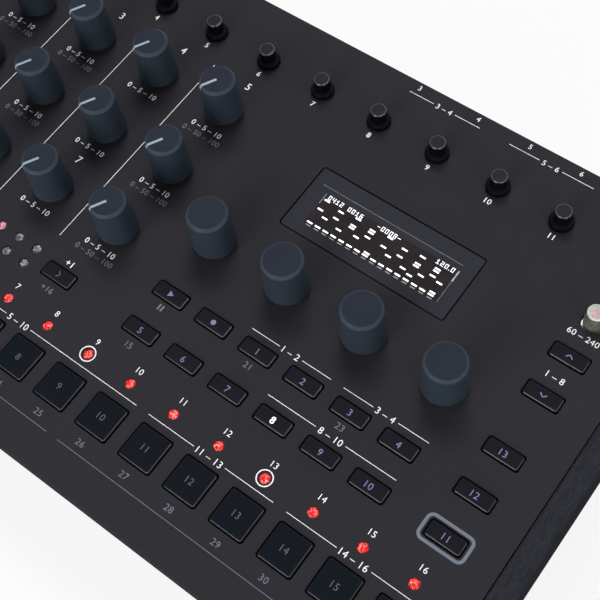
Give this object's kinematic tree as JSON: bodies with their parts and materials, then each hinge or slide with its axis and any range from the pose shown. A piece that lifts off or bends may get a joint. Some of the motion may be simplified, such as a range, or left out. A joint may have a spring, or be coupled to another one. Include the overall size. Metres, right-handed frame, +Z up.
{
  "type": "drum machine",
  "caption": "Wedge-shaped desktop drum machine with step pads, small keys, pointer knobs, level knobs, encoders, step lamps, a display window and rear sockets.",
  "frame": {"origin": "on the table, in the middle of the footprint", "axes": "+X along the width, to the right as the player sees it; +Y to the rear, where the sockets are; +Z up"},
  "size_m": [0.408, 0.181, 0.0826],
  "materials": {
    "panel_paint": "matte black paint",
    "case_paint": "matte black paint",
    "cheek_wood": "black stained, fine grain",
    "foot_rubber": "matte",
    "screw_steel": "blackened",
    "window_plastic": "dark tinted, glossy",
    "display_plastic": "glossy",
    "board": "green solder mask",
    "pot_metal": "satin",
    "switch_plastic": "matte",
    "lamp_plastic": "clear red, lit",
    "jack_metal": "nickel",
    "socket_plastic": "matte",
    "pad_plastic": "satin blue-grey",
    "key_plastic": "satin black",
    "knob_plastic": "satin blue-grey",
    "level_plastic": "glossy black",
    "tempo_plastic": "clear, lit red from below"
  },
  "bodies": {
    "case": {"top_panel": "panel_paint", "bottom_case": "case_paint", "rear_panel": "case_paint", "left_cheek": "cheek_wood", "right_cheek": "cheek_wood", "rubber_feet": "foot_rubber", "case_screws": "screw_steel", "display_window": "window_plastic", "display_module": "display_plastic", "control_board": "board", "main_board": "board", "pot_bodies": "pot_metal", "key_switches": "switch_plastic", "indicator_lamps": "lamp_plastic", "audio_jacks": "jack_metal", "data_sockets": "socket_plastic"},
    "pads_1_to_4": {"pads_1_to_4": "pad_plastic"},
    "pads_5_to_10": {"pads_5_to_10": "pad_plastic"},
    "pads_11_to_13": {"pads_11_to_13": "pad_plastic"},
    "pads_14_to_16": {"pads_14_to_16": "pad_plastic"},
    "transport_keys": {"transport_keys": "key_plastic"},
    "upper_keys": {"upper_keys": "key_plastic"},
    "lower_keys": {"lower_keys": "key_plastic"},
    "side_keys": {"side_keys": "key_plastic"},
    "arrow_keys": {"arrow_keys": "key_plastic"},
    "power_button": {"power_button": "key_plastic"},
    "bass_knob_front": {"bass_knob_front": "knob_plastic"},
    "bass_knob_middle": {"bass_knob_middle": "knob_plastic"},
    "bass_knob_rear": {"bass_knob_rear": "knob_plastic"},
    "snare_knob_front": {"snare_knob_front": "knob_plastic"},
    "snare_knob_middle": {"snare_knob_middle": "knob_plastic"},
    "snare_knob_rear": {"snare_knob_rear": "knob_plastic"},
    "tom_knob_front": {"tom_knob_front": "knob_plastic"},
    "tom_knob_middle": {"tom_knob_middle": "knob_plastic"},
    "tom_knob_rear": {"tom_knob_rear": "knob_plastic"},
    "hat_knob_front": {"hat_knob_front": "knob_plastic"},
    "hat_knob_middle": {"hat_knob_middle": "knob_plastic"},
    "hat_knob_rear": {"hat_knob_rear": "knob_plastic"},
    "sample_knob_front": {"sample_knob_front": "knob_plastic"},
    "sample_knob_middle": {"sample_knob_middle": "knob_plastic"},
    "sample_knob_rear": {"sample_knob_rear": "knob_plastic"},
    "encoder_1": {"encoder_1": "knob_plastic"},
    "encoder_2": {"encoder_2": "knob_plastic"},
    "encoder_3": {"encoder_3": "knob_plastic"},
    "encoder_4": {"encoder_4": "knob_plastic"},
    "level_knob_1": {"level_knob_1": "level_plastic"},
    "level_knob_2": {"level_knob_2": "level_plastic"},
    "level_knob_3": {"level_knob_3": "level_plastic"},
    "level_knob_4": {"level_knob_4": "level_plastic"},
    "level_knob_5": {"level_knob_5": "level_plastic"},
    "level_knob_6": {"level_knob_6": "level_plastic"},
    "level_knob_7": {"level_knob_7": "level_plastic"},
    "level_knob_8": {"level_knob_8": "level_plastic"},
    "level_knob_9": {"level_knob_9": "level_plastic"},
    "level_knob_10": {"level_knob_10": "level_plastic"},
    "level_knob_11": {"level_knob_11": "level_plastic"},
    "tempo_knob": {"tempo_knob": "tempo_plastic"},
    "volume_knob": {"volume_knob": "knob_plastic"},
    "send_knob_1": {"send_knob_1": "knob_plastic"},
    "send_knob_2": {"send_knob_2": "knob_plastic"}
  },
  "joints": [
    {"name": "pads_1_to_4_press", "type": "slide", "parent": "case", "child": "pads_1_to_4", "axis": [0, 0.1564, -0.9877], "range_m": [0, 0.0008], "stiffness_N_per_m": 800, "springref_m": -0.0005},
    {"name": "pads_5_to_10_press", "type": "slide", "parent": "case", "child": "pads_5_to_10", "axis": [0, 0.1564, -0.9877], "range_m": [0, 0.0008], "stiffness_N_per_m": 800, "springref_m": -0.0005},
    {"name": "pads_11_to_13_press", "type": "slide", "parent": "case", "child": "pads_11_to_13", "axis": [0, 0.1564, -0.9877], "range_m": [0, 0.0008], "stiffness_N_per_m": 800, "springref_m": -0.0005},
    {"name": "pads_14_to_16_press", "type": "slide", "parent": "case", "child": "pads_14_to_16", "axis": [0, 0.1564, -0.9877], "range_m": [0, 0.0008], "stiffness_N_per_m": 800, "springref_m": -0.0005},
    {"name": "transport_keys_press", "type": "slide", "parent": "case", "child": "transport_keys", "axis": [0, 0.1564, -0.9877], "range_m": [0, 0.0008], "stiffness_N_per_m": 800, "springref_m": -0.0005},
    {"name": "upper_keys_press", "type": "slide", "parent": "case", "child": "upper_keys", "axis": [0, 0.1564, -0.9877], "range_m": [0, 0.0008], "stiffness_N_per_m": 800, "springref_m": -0.0005},
    {"name": "lower_keys_press", "type": "slide", "parent": "case", "child": "lower_keys", "axis": [0, 0.1564, -0.9877], "range_m": [0, 0.0008], "stiffness_N_per_m": 800, "springref_m": -0.0005},
    {"name": "side_keys_press", "type": "slide", "parent": "case", "child": "side_keys", "axis": [0, 0.1564, -0.9877], "range_m": [0, 0.0008], "stiffness_N_per_m": 800, "springref_m": -0.0005},
    {"name": "arrow_keys_press", "type": "slide", "parent": "case", "child": "arrow_keys", "axis": [0, 0.1564, -0.9877], "range_m": [0, 0.0008], "stiffness_N_per_m": 800, "springref_m": -0.0005},
    {"name": "power_button_press", "type": "slide", "parent": "case", "child": "power_button", "axis": [0, -1, 0], "range_m": [0, 0.002], "stiffness_N_per_m": 600, "springref_m": -0.001},
    {"name": "bass_knob_front_turn", "type": "hinge", "parent": "case", "child": "bass_knob_front", "pos_m": [-0.0799, -0.01363, 0.0544], "axis": [0, -0.1564, 0.9877], "range_deg": [-300, 0]},
    {"name": "bass_knob_middle_turn", "type": "hinge", "parent": "case", "child": "bass_knob_middle", "pos_m": [-0.0799, 0.01392, 0.05877], "axis": [0, -0.1564, 0.9877], "range_deg": [-300, 0]},
    {"name": "bass_knob_rear_turn", "type": "hinge", "parent": "case", "child": "bass_knob_rear", "pos_m": [-0.0799, 0.04148, 0.06313], "axis": [0, -0.1564, 0.9877], "range_deg": [-300, 0]},
    {"name": "snare_knob_front_turn", "type": "hinge", "parent": "case", "child": "snare_knob_front", "pos_m": [-0.0507, -0.01363, 0.0544], "axis": [0, -0.1564, 0.9877], "range_deg": [-300, 0]},
    {"name": "snare_knob_middle_turn", "type": "hinge", "parent": "case", "child": "snare_knob_middle", "pos_m": [-0.0507, 0.01392, 0.05877], "axis": [0, -0.1564, 0.9877], "range_deg": [-300, 0]},
    {"name": "snare_knob_rear_turn", "type": "hinge", "parent": "case", "child": "snare_knob_rear", "pos_m": [-0.0507, 0.04148, 0.06313], "axis": [0, -0.1564, 0.9877], "range_deg": [-300, 0]},
    {"name": "tom_knob_front_turn", "type": "hinge", "parent": "case", "child": "tom_knob_front", "pos_m": [-0.0215, -0.01363, 0.0544], "axis": [0, -0.1564, 0.9877], "range_deg": [-300, 0]},
    {"name": "tom_knob_middle_turn", "type": "hinge", "parent": "case", "child": "tom_knob_middle", "pos_m": [-0.0215, 0.01392, 0.05877], "axis": [0, -0.1564, 0.9877], "range_deg": [-300, 0]},
    {"name": "tom_knob_rear_turn", "type": "hinge", "parent": "case", "child": "tom_knob_rear", "pos_m": [-0.0215, 0.04148, 0.06313], "axis": [0, -0.1564, 0.9877], "range_deg": [-300, 0]},
    {"name": "hat_knob_front_turn", "type": "hinge", "parent": "case", "child": "hat_knob_front", "pos_m": [0.0077, -0.01363, 0.0544], "axis": [0, -0.1564, 0.9877], "range_deg": [-300, 0]},
    {"name": "hat_knob_middle_turn", "type": "hinge", "parent": "case", "child": "hat_knob_middle", "pos_m": [0.0077, 0.01392, 0.05877], "axis": [0, -0.1564, 0.9877], "range_deg": [-300, 0]},
    {"name": "hat_knob_rear_turn", "type": "hinge", "parent": "case", "child": "hat_knob_rear", "pos_m": [0.0077, 0.04148, 0.06313], "axis": [0, -0.1564, 0.9877], "range_deg": [-300, 0]},
    {"name": "sample_knob_front_turn", "type": "hinge", "parent": "case", "child": "sample_knob_front", "pos_m": [0.0369, -0.01363, 0.0544], "axis": [0, -0.1564, 0.9877], "range_deg": [-300, 0]},
    {"name": "sample_knob_middle_turn", "type": "hinge", "parent": "case", "child": "sample_knob_middle", "pos_m": [0.0369, 0.01392, 0.05877], "axis": [0, -0.1564, 0.9877], "range_deg": [-300, 0]},
    {"name": "sample_knob_rear_turn", "type": "hinge", "parent": "case", "child": "sample_knob_rear", "pos_m": [0.0369, 0.04148, 0.06313], "axis": [0, -0.1564, 0.9877], "range_deg": [-300, 0]},
    {"name": "encoder_1_turn", "type": "hinge", "parent": "case", "child": "encoder_1", "pos_m": [0.0661, 0.00019, 0.05659], "axis": [0, -0.1564, 0.9877], "continuous": true},
    {"name": "encoder_2_turn", "type": "hinge", "parent": "case", "child": "encoder_2", "pos_m": [0.0953, 0.00019, 0.05659], "axis": [0, -0.1564, 0.9877], "continuous": true},
    {"name": "encoder_3_turn", "type": "hinge", "parent": "case", "child": "encoder_3", "pos_m": [0.1245, 0.00019, 0.05659], "axis": [0, -0.1564, 0.9877], "continuous": true},
    {"name": "encoder_4_turn", "type": "hinge", "parent": "case", "child": "encoder_4", "pos_m": [0.1537, 0.00019, 0.05659], "axis": [0, -0.1564, 0.9877], "continuous": true},
    {"name": "level_knob_1_turn", "type": "hinge", "parent": "case", "child": "level_knob_1", "pos_m": [-0.08034, 0.06681, 0.06714], "axis": [0, -0.1564, 0.9877], "range_deg": [-150, 150]},
    {"name": "level_knob_2_turn", "type": "hinge", "parent": "case", "child": "level_knob_2", "pos_m": [-0.05698, 0.06681, 0.06714], "axis": [0, -0.1564, 0.9877], "range_deg": [-150, 150]},
    {"name": "level_knob_3_turn", "type": "hinge", "parent": "case", "child": "level_knob_3", "pos_m": [-0.03362, 0.06681, 0.06714], "axis": [0, -0.1564, 0.9877], "range_deg": [-150, 150]},
    {"name": "level_knob_4_turn", "type": "hinge", "parent": "case", "child": "level_knob_4", "pos_m": [-0.01026, 0.06681, 0.06714], "axis": [0, -0.1564, 0.9877], "range_deg": [-150, 150]},
    {"name": "level_knob_5_turn", "type": "hinge", "parent": "case", "child": "level_knob_5", "pos_m": [0.0131, 0.06681, 0.06714], "axis": [0, -0.1564, 0.9877], "range_deg": [-150, 150]},
    {"name": "level_knob_6_turn", "type": "hinge", "parent": "case", "child": "level_knob_6", "pos_m": [0.03646, 0.06681, 0.06714], "axis": [0, -0.1564, 0.9877], "range_deg": [-150, 150]},
    {"name": "level_knob_7_turn", "type": "hinge", "parent": "case", "child": "level_knob_7", "pos_m": [0.05982, 0.06681, 0.06714], "axis": [0, -0.1564, 0.9877], "range_deg": [-150, 150]},
    {"name": "level_knob_8_turn", "type": "hinge", "parent": "case", "child": "level_knob_8", "pos_m": [0.08318, 0.06681, 0.06714], "axis": [0, -0.1564, 0.9877], "range_deg": [-150, 150]},
    {"name": "level_knob_9_turn", "type": "hinge", "parent": "case", "child": "level_knob_9", "pos_m": [0.10654, 0.06681, 0.06714], "axis": [0, -0.1564, 0.9877], "range_deg": [-150, 150]},
    {"name": "level_knob_10_turn", "type": "hinge", "parent": "case", "child": "level_knob_10", "pos_m": [0.1299, 0.06681, 0.06714], "axis": [0, -0.1564, 0.9877], "range_deg": [-150, 150]},
    {"name": "level_knob_11_turn", "type": "hinge", "parent": "case", "child": "level_knob_11", "pos_m": [0.15326, 0.06681, 0.06714], "axis": [0, -0.1564, 0.9877], "range_deg": [-150, 150]},
    {"name": "tempo_knob_turn", "type": "hinge", "parent": "case", "child": "tempo_knob", "pos_m": [0.1791, 0.04247, 0.06329], "axis": [0, -0.1564, 0.9877], "range_deg": [-150, 150]},
    {"name": "volume_knob_turn", "type": "hinge", "parent": "case", "child": "volume_knob", "pos_m": [-0.1639, 0.0277, 0.06095], "axis": [0, -0.1564, 0.9877], "range_deg": [-300, 0]},
    {"name": "send_knob_1_turn", "type": "hinge", "parent": "case", "child": "send_knob_1", "pos_m": [-0.1199, 0.01392, 0.05877], "axis": [0, -0.1564, 0.9877], "range_deg": [-300, 0]},
    {"name": "send_knob_2_turn", "type": "hinge", "parent": "case", "child": "send_knob_2", "pos_m": [-0.1199, 0.04148, 0.06313], "axis": [0, -0.1564, 0.9877], "range_deg": [-300, 0]}
  ]
}
